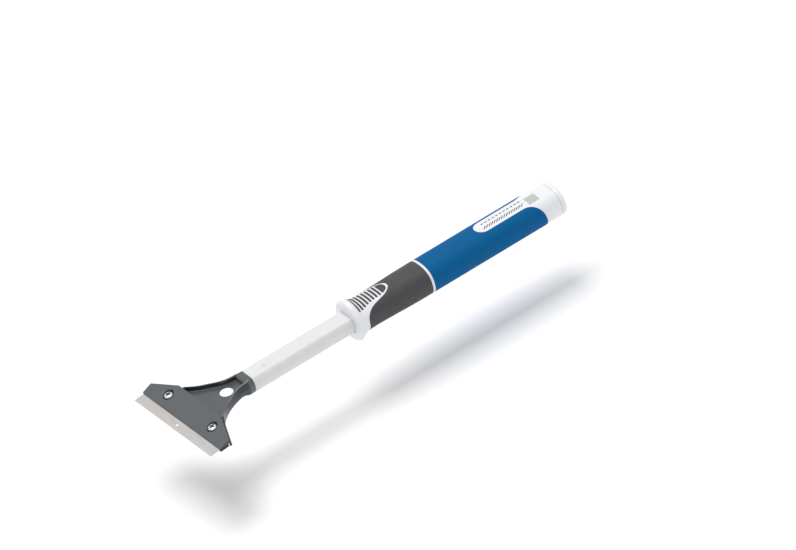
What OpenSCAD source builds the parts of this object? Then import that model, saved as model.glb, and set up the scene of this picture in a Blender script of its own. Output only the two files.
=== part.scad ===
// Long-handled scraper: a reversible blade clamped in an angled head,
// a flat-topped tube and a two-colour soft-grip handle.
// Millimetres. X runs from the blade to the handle end, Z is up on the thumb side.
// The origin is the centre of the hanging hole in the head's neck.

/* [Tube] */
// Outside diameter of the round side of the tube
tube_d = 18.6; // [18:0.1:20]
// Height of the tube's flat top above its axis
tube_flat = 6.4; // [6:0.1:7.2]
// Tube wall
tube_wall = 1.5; // [1.2:0.1:1.8]
// Length of tube seen between the head and the handle
tube_shown = 88; // [60:1:120]
// Length of tube held inside the handle
tube_held = 76; // [70:1:85]

/* [Head] */
// Length of the blade's cutting edge
blade_len = 100; // [90:1:110]
// Depth of the blade from edge to edge
blade_depth = 15.5; // [15:0.5:17]
// Blade thickness
blade_t = 0.5; // [0.4:0.1:0.6]
// How far the blade stands out in front of the clamp plate
blade_reach = 8.4; // [7.5:0.1:9]
// Angle of the blade below the handle's line
head_tilt = 6; // [3:0.5:10]
// Angle of the clamp plate's top face below the handle's line
plate_tilt = 23; // [18:0.5:26]
// Depth of the clamp plate from front to back
plate_depth = 19.1; // [18:0.1:21]
// Depth of the clamp plate's straight sides
plate_side = 8.7; // [7.5:0.1:10]
// Length of the clamp plate and of the sheet under the blade
plate_w = 102; // [100:0.5:112]
// Length of the clamp plate's back edge
plate_back = 53.6; // [50:0.2:58]
// Clamp plate's thickness at its front edge
plate_t = 0.8; // [0.6:0.1:1]
// Thickness of the sheet that carries the blade
base_t = 1.5; // [1.3:0.1:2]
// Distance between the two clamp screws
screw_span = 57.6; // [50:0.2:62]
// Radius of the hanging hole
hang_r = 5.1; // [4.5:0.1:6]

/* [Handle] */
// Handle width
grip_w = 29; // [28:0.5:33]
// Handle height
grip_h = 23.8; // [23:0.2:27]
// Corner radius of the handle's section
grip_r = 11.1; // [10:0.1:11.5]
// Diameter of the round collar at the front
collar_d = 33.6; // [31:0.2:36]
// Thickness of the rubber skin
skin_t = 2; // [1.5:0.1:2.2]
// Number of rubber bars on the thumb rest
thumb_bars = 8; // [6:1:8]
// Number of short bars on the top panel
panel_bars = 16; // [10:1:17]

/* [Hidden] */
round_fn = 96;
fine_fn = 48;
eps = 0.5;
fit = 0.05;

// Places along the tool, from the face where the tube meets the head
tube_r = tube_d / 2;
hang_back = 19.4;
hang_rise = 1.5;
front_x = -60.3;
front_z = 0;
collar_x = tube_shown + 4;
collar_lip = 2.8;
flare_end = collar_x + 16;
skin_start = collar_x + 9;
seam_x = collar_x + 64.3;
seam_w = 1.6;
panel_x = collar_x + 115.3;
skin_end = collar_x + 168;
cap_x = collar_x + 181.6;
handle_end = collar_x + 186.2;

// Head details
ring_t = 4.8;
spigot_len = 28;
pin_x = 15;
pin_r = 1.5;
pin_hole_r = 0.8;
pin_gap = 0.4;
neck_t = 1.2;
neck_arc_r = 48.8;
neck_arc_x = -2;
neck_arc_y = 58;
rim_t = 2;
rim_top = 6;
rim_bottom = -2.5;
flange_drop = 2.4;
flange_out = 1.3;
flange_t = 1.8;
notch_w = 0.8;
plate_gap = 0.3;
neck_in = 0.6;
pocket = blade_depth - blade_reach;

// Clamp screws
screw_r = 2;
screw_hole_r = 2.15;
screw_head_r = 3.5;
screw_head_t = 1.9;
recess_r = 4.4;
seat_z = 1.9;
washer_r = 4.2;
washer_t = 0.4;
screw_len = 10;
screw_depth = 9.5;
cross_w = 0.9;
cross_l = 4.4;
nut_across = 7;
nut_t = 3.2;
blade_hole_r = 1.25;
blade_hole_in = 4.1;
edge_t = 0.4;
bevel_angle = 14;
bevel_l = 3;

// Handle details
wall_t = 2.2;
mouth_t = 2.4;
mouth_gap = 0.2;
bar_pitch = 3.1;
bar_t = 1.5;
bar_first = collar_x + 4.3;
bar_proud = 0.4;
pad_x = bar_first + bar_pitch * 7 + 1.8;
handle_pin_x = collar_x + 48;
tongue_r = 7.6;
panel_half = 6.9;
inlay_x = collar_x + 160.4;
inlay_l = 9.3;
inlay_w = 8.9;
inlay_y = -2.2;
mark_t = 0.3;
mark_l = 2.7;
mark_w = 1.05;
mark_lean = 3;
mark_pitch = 2.24;
mark_y = -2.9;
dash_count = 11;
dash_l = 2;
dash_w = 1.1;
dash_pitch = 3.3;
dash_y = 2.1;
bar_inset = 5;
dash_inset = 6.9;

// Moves the tool's own line so that the hanging hole is the origin
module place() {
    translate([hang_back, 0, -hang_rise]) children();
}

// Stands a flat outline (y across, z up) at x and runs it along the tool
module along(x, len) {
    translate([x, 0, 0]) rotate([90, 0, 90]) linear_extrude(len) children();
}

// The plane of the blade: x from the clamp plate's front edge, z from the blade's top face
module head_frame() {
    translate([front_x, 0, front_z]) rotate([0, -head_tilt, 0]) children();
}

// The neck's level floor, centred on the hanging hole
module neck_frame() {
    translate([-hang_back, 0, hang_rise]) children();
}

module tube_outline(grow) {
    intersection() {
        circle(r = tube_r + grow, $fn = round_fn);
        translate([-tube_r - eps, -tube_r - eps]) square([tube_d + 2 * eps, tube_r + eps + tube_flat + grow]);
    }
}

module grip_outline(inset) {
    half_w = grip_w / 2 - inset;
    half_h = grip_h / 2 - inset;
    r = grip_r - inset;
    translate([-half_w + r, -half_h]) square([2 * (half_w - r), 2 * half_h]);
    translate([-half_w, -half_h + r]) square([2 * half_w, 2 * (half_h - r)]);
    for (sx = [-1, 1])
        for (sy = [-1, 1])
            translate([sx * (half_w - r), sy * (half_h - r)]) circle(r = r, $fn = round_fn);
}

// The six-sided outline shared by the clamp plate and the sheet under it
module plate_outline(front) {
    polygon([[front, -plate_w / 2], [plate_side, -plate_w / 2], [plate_depth, -plate_back / 2],
        [plate_depth, plate_back / 2], [plate_side, plate_w / 2], [front, plate_w / 2]]);
}

module at_screw(side) {
    head_frame() translate([screw_depth, side * screw_span / 2, 0]) children();
}

module blade() {
    color("gainsboro") place() head_frame() difference() {
        translate([-blade_reach, -blade_len / 2, -blade_t]) cube([blade_depth, blade_len, blade_t]);
        translate([-blade_reach + blade_hole_in, 0, -blade_t - eps])
            cylinder(r = blade_hole_r, h = blade_t + 2 * eps, $fn = fine_fn);
        translate([-blade_reach, -blade_len / 2 - eps, -edge_t]) rotate([0, -bevel_angle, 0])
            translate([-eps, 0, 0]) cube([bevel_l, blade_len + 2 * eps, blade_t]);
    }
}

// Height of the clamp plate's sloping top above the blade
function plate_top(x) = plate_t + x * tan(plate_tilt - head_tilt);

// Wedge-shaped cover, thin at the blade and thick at the back, with a round seat for each screw
module clamp_plate() {
    color("dimgray") place() difference() {
        head_frame() intersection() {
            linear_extrude(tube_d) plate_outline(0);
            rotate([90, 0, 0]) linear_extrude(plate_w + 2 * eps, center = true)
                polygon([[0, fit], [plate_depth, fit], [plate_depth, plate_top(plate_depth)], [0, plate_t]]);
        }
        for (side = [-1, 1]) {
            at_screw(side) cylinder(r = screw_hole_r, h = tube_d, center = true, $fn = fine_fn);
            at_screw(side) translate([0, 0, seat_z]) cylinder(r = recess_r, h = tube_d, $fn = round_fn);
        }
    }
}

module clamp_screw(side) {
    seat = seat_z + washer_t;
    color("silver") place() at_screw(side) difference() {
        union() {
            translate([0, 0, seat]) cylinder(r = screw_head_r, h = screw_head_t / 2, $fn = round_fn);
            translate([0, 0, seat + screw_head_t / 2])
                cylinder(r1 = screw_head_r, r2 = screw_head_r * 0.7, h = screw_head_t / 2, $fn = round_fn);
            translate([0, 0, seat - screw_len]) cylinder(r = screw_r, h = screw_len + fit, $fn = fine_fn);
        }
        for (turn = [0, 90])
            rotate([0, 0, turn]) translate([-cross_l / 2, -cross_w / 2, seat + screw_head_t / 2])
                cube([cross_l, cross_w, screw_head_t]);
    }
}

module washer(side) {
    color("black") place() at_screw(side) translate([0, 0, seat_z]) difference() {
        cylinder(r = washer_r, h = washer_t, $fn = round_fn);
        translate([0, 0, -eps]) cylinder(r = screw_hole_r, h = washer_t + 2 * eps, $fn = fine_fn);
    }
}

module clamp_nut(side) {
    color("silver") place() at_screw(side) translate([0, 0, -blade_t - base_t - nut_t]) difference() {
        cylinder(d = nut_across / cos(30), h = nut_t, $fn = 6);
        translate([0, 0, -eps]) cylinder(r = screw_r + fit, h = nut_t + 2 * eps, $fn = fine_fn);
    }
}

// Flat sheet under the blade, with a step that the blade's back edge rests on
module holder_sheet() {
    head_frame() translate([0, 0, -blade_t - base_t]) linear_extrude(base_t) plate_outline(0);
    head_frame() translate([0, 0, -blade_t - base_t]) linear_extrude(base_t + blade_t) plate_outline(pocket);
}

// Folded edge below each slanted side of the sheet, notched where the straight side begins
module holder_flange() {
    slope = (plate_w - plate_back) / 2 / (plate_depth - plate_side);
    start_y = plate_w / 2 - notch_w * slope;
    wall = flange_t * sqrt(1 + slope * slope) / slope;
    out = flange_out * sqrt(1 + slope * slope) / slope;
    end_y = plate_back / 2 - rim_t / 2;
    end_x = plate_depth + rim_t / 2 / slope;
    head_frame() translate([out, 0, -blade_t - base_t - flange_drop]) linear_extrude(flange_drop + eps)
        for (side = [-1, 1])
            polygon([[plate_side + notch_w, side * start_y], [end_x, side * end_y],
                [end_x - wall, side * end_y], [plate_side + notch_w - wall, side * start_y]]);
}

// Plan of the waisted neck, whose sides are arcs
module neck_outline(inset) {
    start = front_x + plate_depth * cos(head_tilt) - 1.5;
    difference() {
        translate([start, -plate_back / 2 + neck_in]) square([-start, plate_back - 2 * neck_in]);
        for (side = [-1, 1])
            translate([neck_arc_x, side * neck_arc_y]) circle(r = neck_arc_r + inset, $fn = 192);
    }
}

module neck() {
    intersection() {
        translate([0, 0, -tube_d]) linear_extrude(2 * tube_d) neck_outline(0);
        neck_frame() translate([-2 * tube_d, -blade_len / 2, -neck_t / 2])
            cube([3 * tube_d, blade_len, neck_t]);
    }
    translate([0, 0, rim_bottom]) linear_extrude(rim_top - rim_bottom) difference() {
        neck_outline(0);
        neck_outline(rim_t);
    }
}

module blade_holder() {
    color("dimgray") place() difference() {
        union() {
            holder_sheet();
            holder_flange();
            intersection() {
                neck();
                union() {
                    head_frame() translate([-1, -blade_len / 2, -4 * tube_d - base_t / 2])
                        cube([plate_depth + 2, blade_len, 4 * tube_d]);
                    head_frame() translate([plate_depth + plate_gap, -blade_len / 2, -4 * tube_d])
                        cube([4 * tube_d, blade_len, 8 * tube_d]);
                }
            }
            along(-ring_t, ring_t) tube_outline(-fit);
            along(-fit, spigot_len) tube_outline(-tube_wall - fit);
        }
        neck_frame() translate([0, 0, -neck_t]) cylinder(r = hang_r, h = 2 * neck_t, $fn = round_fn);
        for (side = [-1, 1])
            at_screw(side) translate([0, 0, -blade_t - base_t - eps])
                cylinder(r = screw_hole_r, h = base_t + blade_t + 2 * eps, $fn = fine_fn);
        translate([pin_x, 0, -tube_r - eps]) cylinder(r = pin_r + fit, h = tube_d + 2 * eps, $fn = fine_fn);
    }
}

module head_pin() {
    bottom = -tube_r + tube_wall + pin_gap;
    color("silver") place() translate([pin_x, 0, bottom]) difference() {
        cylinder(r = pin_r, h = tube_flat - bottom, $fn = fine_fn);
        translate([0, 0, -eps]) cylinder(r = pin_hole_r, h = tube_d, $fn = fine_fn);
    }
}

module tube() {
    color("whitesmoke") place() difference() {
        along(0, tube_shown + tube_held) tube_outline(0);
        along(-eps, tube_shown + tube_held + 2 * eps) tube_outline(-tube_wall);
        translate([pin_x, 0, 0]) cylinder(r = pin_r + fit, h = tube_d, $fn = fine_fn);
        translate([handle_pin_x, 0, 0]) rotate([90, 0, 0])
            cylinder(r = pin_r + fit, h = 2 * tube_d, center = true, $fn = fine_fn);
    }
}

// Round lip and the flare behind it, turned about the tool's line
module collar() {
    translate([collar_x, 0, 0]) rotate([0, 90, 0]) rotate_extrude($fn = round_fn) {
        translate([collar_d / 2 - collar_lip, 0]) circle(r = collar_lip, $fn = fine_fn);
        translate([0, -collar_lip]) square([collar_d / 2 - collar_lip, 2 * collar_lip]);
        polygon([[0, 0], for (s = [0:0.1:0.5]) [flare_r(s), s * (flare_end - collar_x)],
            [flare_r(skin_s), skin_start - collar_x], [0, skin_start - collar_x]]);
    }
}

// Where the rubber skin begins along the flare
skin_s = (skin_start - collar_x) / (flare_end - collar_x);

// Radius of the flare, s from 0 at the lip to 1 where it meets the grip
function flare_r(s) = grip_h / 2 - 1 + (collar_d / 2 - grip_h / 2 + 1) * pow(1 - s, 1.8);

// Plan of the white tongue that carries the thumb rest
module tongue_outline(inset) {
    tip = collar_x + 35.2;
    translate([tip - tongue_r, 0]) circle(r = tongue_r - inset, $fn = round_fn);
    for (side = [-1, 1])
        polygon([[collar_x - 10, 0], [collar_x - 10, side * (grip_w / 2 - inset)],
            [skin_start, side * (grip_w / 2 - inset)], [skin_start + 5, side * (12.2 - inset)],
            [skin_start + 12, side * (10.4 - inset)], [tip - tongue_r + 2, side * (tongue_r - 0.3 - inset)],
            [tip - tongue_r + 2, 0]]);
}

// Plan of the white panel on top of the rear grip
module panel_outline() {
    translate([panel_x + panel_half, 0]) circle(r = panel_half, $fn = round_fn);
    translate([panel_x + panel_half, -panel_half]) square([cap_x - panel_x - panel_half, 2 * panel_half]);
    difference() {
        translate([skin_end - 14.7, -grip_w]) square([20, 2 * grip_w]);
        for (side = [-1, 1])
            translate([skin_end - 14.7, side * (panel_half + 14.7)]) circle(r = 14.7, $fn = round_fn);
        for (side = [-1, 1])
            translate([skin_end - 40, side * (panel_half + 14.7) - (side > 0 ? 0 : 60)]) square([40, 60]);
    }
}

module above(plan_z) {
    translate([0, 0, plan_z]) linear_extrude(grip_h) children();
}

module front_skin() {
    difference() {
        along(skin_start, seam_x - skin_start) grip_outline(0);
        along(skin_start - eps, seam_x - skin_start + 2 * eps) grip_outline(skin_t);
        above(0) tongue_outline(0);
    }
}

module rear_skin() {
    difference() {
        along(seam_x + seam_w, skin_end - seam_x - seam_w) grip_outline(0);
        along(seam_x + seam_w - eps, skin_end - seam_x - seam_w + 2 * eps) grip_outline(skin_t);
        above(0) panel_outline();
    }
}

module handle_core() {
    color("white") place() difference() {
        union() {
            collar();
            along(collar_x, skin_start - collar_x) grip_outline(1);
            along(skin_start - fit, cap_x - skin_start + fit) grip_outline(skin_t);
            along(skin_end, cap_x - skin_end) grip_outline(0);
            intersection() {
                along(collar_x, cap_x - collar_x) grip_outline(0);
                above(0) {
                    tongue_outline(0);
                    panel_outline();
                }
            }
        }
        along(collar_x - collar_lip - eps, mouth_t + eps) tube_outline(mouth_gap);
        along(collar_x - collar_lip - eps, collar_lip + tube_held + eps) tube_outline(fit);
        along(collar_x + tube_held - 8, cap_x - collar_x) grip_outline(skin_t + wall_t);
        translate([handle_pin_x, 0, 0]) rotate([90, 0, 0])
            cylinder(r = pin_r + fit, h = grip_w, center = true, $fn = fine_fn);
        thumb_rubber(fit);
        inlay_block();
    }
}

module handle_pin() {
    color("silver") place() translate([handle_pin_x, 0, 0]) rotate([90, 0, 0]) difference() {
        cylinder(r = pin_r, h = grip_w - 2 * skin_t - 1, center = true, $fn = fine_fn);
        cylinder(r = pin_hole_r, h = grip_w, center = true, $fn = fine_fn);
    }
}

module front_grip() {
    color([0.2, 0.2, 0.2]) place() front_skin();
}

module rear_grip() {
    color([0, 0.32, 0.6]) place() rear_skin();
}

// Half width of the thumb rest's bar number i
function bar_half(i) = 10.8 - 0.5 * i;

module thumb_rubber(grow) {
    for (i = [0:thumb_bars - 1])
        translate([bar_first + i * bar_pitch, 0, 0])
            intersection() {
                translate([-bar_t / 2 - grow, -bar_half(i) - grow, grip_h / 2 - 4])
                    cube([bar_t + 2 * grow, 2 * (bar_half(i) + grow), 12]);
                rotate([0, 90, 0]) difference() {
                    cylinder(r = bar_top(i) + bar_proud, h = 3 * bar_t, center = true, $fn = round_fn);
                    cylinder(r = bar_top(i) - 1 - grow, h = 4 * bar_t, center = true, $fn = round_fn);
                }
            }
}

// Height of bar number i above the tool's line
function bar_top(i) =
    max(grip_h / 2 + 0.3, flare_r((bar_first + i * bar_pitch - collar_x) / (flare_end - collar_x)));

module thumb_bars_rubber() {
    color([0.2, 0.2, 0.2]) place() {
        thumb_rubber(0);
        translate([0, 0, grip_h / 2]) linear_extrude(bar_proud) intersection() {
            tongue_outline(1.6);
            translate([pad_x, -grip_w / 2]) square([20, grip_w]);
        }
    }
}

module seam_ring() {
    color("white") place() difference() {
        along(seam_x, seam_w) grip_outline(0);
        along(seam_x - eps, seam_w + 2 * eps) grip_outline(skin_t);
    }
}

// Room for the grey plate in the top panel
module inlay_block() {
    translate([inlay_x, inlay_y - inlay_w / 2, grip_h / 2 - 1.4]) cube([inlay_l, inlay_w, 2]);
}

// A row of leaning bars along the near side of the panel and a row of dashes beside it
module panel_marks() {
    color([0.25, 0.25, 0.27]) place() translate([panel_x, 0, grip_h / 2]) {
        for (i = [0:panel_bars - 1])
            translate([bar_inset + i * mark_pitch, mark_y, 0]) linear_extrude(mark_t)
                polygon([[0, -mark_l / 2], [mark_w, -mark_l / 2], [mark_w + mark_lean, mark_l / 2],
                    [mark_lean, mark_l / 2]]);
        for (i = [0:dash_count - 1])
            translate([dash_inset + i * dash_pitch, dash_y - dash_w / 2, 0]) cube([dash_l, dash_w, mark_t]);
    }
}

module code_inlay() {
    color([0.72, 0.72, 0.7]) place() intersection() {
        inlay_block();
        along(inlay_x - eps, inlay_l + 2 * eps) grip_outline(0);
    }
}

module end_cap() {
    color("white") place() {
        intersection() {
            along(cap_x, handle_end - cap_x) grip_outline(0.2);
            translate([handle_end - 40, 0, 0]) sphere(r = 40, $fn = round_fn);
        }
        along(cap_x - 8, 8 + fit) grip_outline(skin_t + wall_t + fit);
    }
}

blade();
clamp_plate();
clamp_screw(1);  // clamp_screw_left
clamp_screw(-1);  // clamp_screw_right
washer(1);  // washer_left
washer(-1);  // washer_right
blade_holder();
clamp_nut(1);  // clamp_nut_left
clamp_nut(-1);  // clamp_nut_right
head_pin();
tube();
handle_core();
handle_pin();
front_grip();
thumb_bars_rubber();
seam_ring();
rear_grip();
panel_marks();
code_inlay();
end_cap();
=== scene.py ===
from math import atan2, cos, hypot, pi, radians, sin, sqrt, tan

import bmesh
import bpy
import numpy as np
from mathutils import Matrix, Vector


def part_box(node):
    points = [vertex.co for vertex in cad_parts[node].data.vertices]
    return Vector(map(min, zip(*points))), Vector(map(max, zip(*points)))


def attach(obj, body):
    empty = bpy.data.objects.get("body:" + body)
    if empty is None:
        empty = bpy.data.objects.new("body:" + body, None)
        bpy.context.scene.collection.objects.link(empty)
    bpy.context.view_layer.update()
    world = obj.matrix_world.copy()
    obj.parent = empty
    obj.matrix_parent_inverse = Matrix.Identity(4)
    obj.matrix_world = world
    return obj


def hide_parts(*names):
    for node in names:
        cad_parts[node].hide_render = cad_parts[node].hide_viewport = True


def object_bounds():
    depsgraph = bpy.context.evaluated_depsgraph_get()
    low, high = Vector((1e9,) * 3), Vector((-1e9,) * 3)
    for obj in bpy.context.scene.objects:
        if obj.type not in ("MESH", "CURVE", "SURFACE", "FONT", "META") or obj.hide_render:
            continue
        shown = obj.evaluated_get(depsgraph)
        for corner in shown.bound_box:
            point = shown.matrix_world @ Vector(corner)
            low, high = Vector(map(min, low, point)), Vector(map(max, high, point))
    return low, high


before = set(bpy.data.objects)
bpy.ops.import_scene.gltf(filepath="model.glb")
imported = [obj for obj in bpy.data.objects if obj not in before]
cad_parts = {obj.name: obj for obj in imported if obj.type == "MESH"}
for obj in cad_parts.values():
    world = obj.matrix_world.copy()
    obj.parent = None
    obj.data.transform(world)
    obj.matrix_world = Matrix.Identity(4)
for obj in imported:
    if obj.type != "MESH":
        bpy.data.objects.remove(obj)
cad_low, cad_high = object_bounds()

MM = 0.001


def span(node):
    """Lowest and highest corner of a CAD node, in millimetres."""
    low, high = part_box(node)
    return low / MM, high / MM


# ---------------------------------------------------------------- sizes, in millimetres
# Everything below works along the tool's own line: x from the face where the tube meets the head,
# y to the left, z up from the tube's axis. ORIGIN takes that into the frame.
tube_low, tube_high = span("tube")
TUBE_R = (tube_high.y - tube_low.y) / 2
ORIGIN = Vector((tube_low.x, 0, tube_low.z + TUBE_R))
TUBE_FLAT = tube_high.z - ORIGIN.z
TUBE_END = tube_high.x - ORIGIN.x

seam_low, seam_high = span("seam_ring")
SEAM_X = seam_low.x - ORIGIN.x
SEAM_END = seam_high.x - ORIGIN.x
GRIP_W = (seam_high.y - seam_low.y) / 2
GRIP_H = (seam_high.z - seam_low.z) / 2

core_low, core_high = span("handle_core")
COLLAR_R = (core_high.y - core_low.y) / 2 - 0.03
LIP = 2.8
COLLAR_X = core_low.x - ORIGIN.x + LIP
CAP_X = core_high.x - ORIGIN.x
HANDLE_END = span("end_cap")[1].x - ORIGIN.x
SKIN_END = span("rear_grip")[1].x - ORIGIN.x

# The blade lies 6 degrees below the handle's line; the wedge-shaped clamp plate rises 17 degrees above it
TILT = radians(6)
WEDGE = radians(17)
plate_low, plate_high = span("clamp_plate")
BLADE_LEN = span("blade")[1].y * 2
PLATE_W = plate_high.y * 2
PLATE_T = 0.8
PLATE_DEPTH = 19.1
PLATE_SIDE = 8.7
PLATE_BACK = 53.6
BLADE_T = 0.5
BASE_T = 1.5
BLADE_REACH = 8.4
BLADE_DEPTH = 15.5
FRONT = Vector((plate_high.x - ORIGIN.x - PLATE_DEPTH * cos(TILT), 0, 0))
screw_low, screw_high = span("clamp_screw_left")
SCREW_SPAN = screw_low.y + screw_high.y
SCREW_DEPTH = 9.5
SEAT_Z = 1.9
HANG = Vector((-ORIGIN.x, 0, -ORIGIN.z))
HANG_R = 5.1


# ---------------------------------------------------------------- mesh helpers
def to_frame(points):
    """Tool points in millimetres to frame points in metres."""
    return (np.asarray(points, float) + np.array(ORIGIN)) * MM


def head_axes():
    """Rotation of the blade's plane: its x runs back from the plate's front edge, its z out of its top."""
    return Matrix.Translation(FRONT) @ Matrix.Rotation(-TILT, 4, "Y")


def apply_matrix(matrix, points):
    m = np.array(matrix)
    return np.asarray(points, float) @ m[:3, :3].T + m[:3, 3]


def make_object(name, points, faces, sharp=35, flat_up=()):
    """A mesh object from tool points and faces, with outward normals and sharp edges over an angle."""
    mesh = bpy.data.meshes.new(name)
    mesh.from_pydata([tuple(p) for p in to_frame(points)], [], [tuple(int(i) for i in f) for f in faces])
    obj = bpy.data.objects.new(name, mesh)
    bpy.context.scene.collection.objects.link(obj)
    finish_mesh(obj, sharp, flat_up)
    return obj


def finish_mesh(obj, sharp=35, flat_up=()):
    """Welds, orients and shades a mesh. Faces along flat_up stay flat, so that bevels shade cleanly."""
    mesh = obj.data
    bm = bmesh.new()
    bm.from_mesh(mesh)
    bmesh.ops.remove_doubles(bm, verts=bm.verts, dist=0.002 * MM)
    bmesh.ops.dissolve_degenerate(bm, edges=bm.edges, dist=0.002 * MM)
    bmesh.ops.recalc_face_normals(bm, faces=bm.faces)
    bm.to_mesh(mesh)
    bm.free()
    shade(mesh, sharp, flat_up)


def shade(mesh, sharp, flat_up):
    mesh.set_sharp_from_angle(angle=radians(sharp))
    for polygon in mesh.polygons:
        polygon.use_smooth = all(abs(polygon.normal.dot(up)) < 0.9999 for up in flat_up)


def grid_faces(rows, cols, closed=True, start=0):
    """Quads of a grid of points whose columns may close on themselves."""
    faces = []
    for r in range(rows - 1):
        for c in range(cols if closed else cols - 1):
            d = (c + 1) % cols
            a = start + r * cols
            faces.append((a + c, a + d, a + cols + d, a + cols + c))
    return faces


def closing_faces(rows, cols):
    """Quads that join a grid's last row to its first."""
    last = (rows - 1) * cols
    return [(last + c, last + (c + 1) % cols, (c + 1) % cols, c) for c in range(cols)]


def loft(name, rows, sharp=35, ring=False):
    """A closed solid through closed outlines that have the same number of points. A ring meets itself."""
    count = len(rows[0])
    points = np.concatenate([np.asarray(r, float) for r in rows])
    faces = grid_faces(len(rows), count)
    if ring:
        faces += closing_faces(len(rows), count)
    else:
        faces.append(tuple(range(count))[::-1])
        faces.append(tuple(range(len(points) - count, len(points))))
    return make_object(name, points, faces, sharp)


def rounded(corners, segments=5):
    """A closed outline whose corners, given as (a, b, radius), are turned into arcs."""
    pts = [np.array(c[:2], float) for c in corners]
    out = []
    for i, p in enumerate(pts):
        before, after = pts[i - 1] - p, pts[(i + 1) % len(pts)] - p
        la, lb = np.linalg.norm(before), np.linalg.norm(after)
        before, after = before / la, after / lb
        half = np.arccos(np.clip(before @ after, -1, 1)) / 2
        r = corners[i][2]
        cut = min(r / max(tan(half), 1e-6), 0.48 * la, 0.48 * lb)
        r = cut * tan(half)
        start, end = p + before * cut, p + after * cut
        middle = before + after
        if np.linalg.norm(middle) < 1e-6 or r < 1e-6:
            out += [start + (end - start) * k / segments for k in range(segments + 1)]
            continue
        centre = p + middle / np.linalg.norm(middle) * r / sin(half)
        a0 = atan2(*(start - centre)[::-1])
        turn = (atan2(*(end - centre)[::-1]) - a0 + pi) % (2 * pi) - pi
        angles = a0 + turn * np.linspace(0, 1, segments + 1)
        out += [centre + r * np.array([cos(a), sin(a)]) for a in angles]
    return np.array(out)


def lathe(name, profile, matrix, segments=64, sharp=35):
    """Turns a closed profile of (radius, height) about the z axis of matrix."""
    rows = []
    for k in range(segments):
        a = 2 * pi * k / segments
        rows.append([(r * cos(a), r * sin(a), z) for r, z in profile])
    points = apply_matrix(matrix, np.concatenate(rows))
    faces = grid_faces(segments, len(profile)) + closing_faces(segments, len(profile))
    return make_object(name, points, faces, sharp)


def slab(name, outline, bottom, top, bevel, matrix, segments=3, rise=0.0):
    """A plate with a closed outline and rounded edges. Its top may rise towards the back."""
    outline = np.asarray(outline, float)
    ahead = np.roll(outline, -1, 0) - outline
    behind = outline - np.roll(outline, 1, 0)
    normals = []
    for a, b in ((behind[i], ahead[i]) for i in range(len(outline))):
        na = np.array([a[1], -a[0]]) / max(np.linalg.norm(a), 1e-9)
        nb = np.array([b[1], -b[0]]) / max(np.linalg.norm(b), 1e-9)
        n = na + nb
        normals.append(n / max(n @ na, 0.3))
    normals = np.array(normals)
    area = np.sum(outline[:, 0] * np.roll(outline[:, 1], -1) - np.roll(outline[:, 0], -1) * outline[:, 1])
    inward = -normals * np.sign(area)
    rows = []
    for k in range(segments + 1):
        a = pi / 2 * k / segments
        rows.append((bevel * (1 - sin(a)), bottom + bevel * (1 - cos(a)), 0))
    for k in range(segments + 1):
        a = pi / 2 * k / segments
        rows.append((bevel * (1 - cos(a)), top - bevel * (1 - sin(a)), tan(rise)))
    levels = []
    for inset, z, slope in rows:
        level = outline + inward * inset
        levels.append(np.column_stack([level, z + slope * level[:, 0]]))
    points = apply_matrix(matrix, np.concatenate(levels))
    count = len(outline)
    faces = grid_faces(len(levels), count)
    faces.append(tuple(range(count))[::-1])
    faces.append(tuple(range(len(points) - count, len(points))))
    return make_object(name, points, faces, 50, flat_ways(matrix, rise))


def flat_ways(matrix, rise=0.0):
    """Normals of a slab's two faces."""
    return [matrix.to_3x3() @ Vector((-sin(a), 0, cos(a))) for a in {0.0, rise}]


def subtract(obj, cutters, sharp=35, flat_up=()):
    """Cuts closed objects out of obj for good."""
    for cutter in cutters:
        mod = obj.modifiers.new("cut", "BOOLEAN")
        mod.operation = "DIFFERENCE"
        mod.solver = "EXACT"
        mod.object = cutter
    bake_modifiers(obj)
    for cutter in cutters:
        bpy.data.objects.remove(cutter)
    finish_mesh(obj, sharp, flat_up)
    return obj


def bake_modifiers(obj):
    graph = bpy.context.evaluated_depsgraph_get()
    mesh = bpy.data.meshes.new_from_object(obj.evaluated_get(graph))
    old = obj.data
    obj.modifiers.clear()
    obj.data = mesh
    bpy.data.meshes.remove(old)


def join(name, objects):
    """Several meshes as the shells of one piece."""
    bm = bmesh.new()
    for obj in objects:
        bm.from_mesh(obj.data)
    mesh = bpy.data.meshes.new(name)
    bm.to_mesh(mesh)
    bm.free()
    for obj in objects:
        bpy.data.objects.remove(obj)
    out = bpy.data.objects.new(name, mesh)
    bpy.context.scene.collection.objects.link(out)
    return out


def piece(obj, body, slot, material, *nodes):
    """Hands a finished piece to the frame."""
    obj.data.materials.clear()
    obj.data.materials.append(material)
    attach(obj, body)
    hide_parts(*nodes)
    return obj


# ---------------------------------------------------------------- materials
def colour_of(r, g, b):
    """Screen colour from 0 to 255 as linear light."""
    def linear(v):
        v = v / 255
        return v / 12.92 if v <= 0.04045 else ((v + 0.055) / 1.055) ** 2.4
    return (linear(r), linear(g), linear(b), 1)


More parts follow.
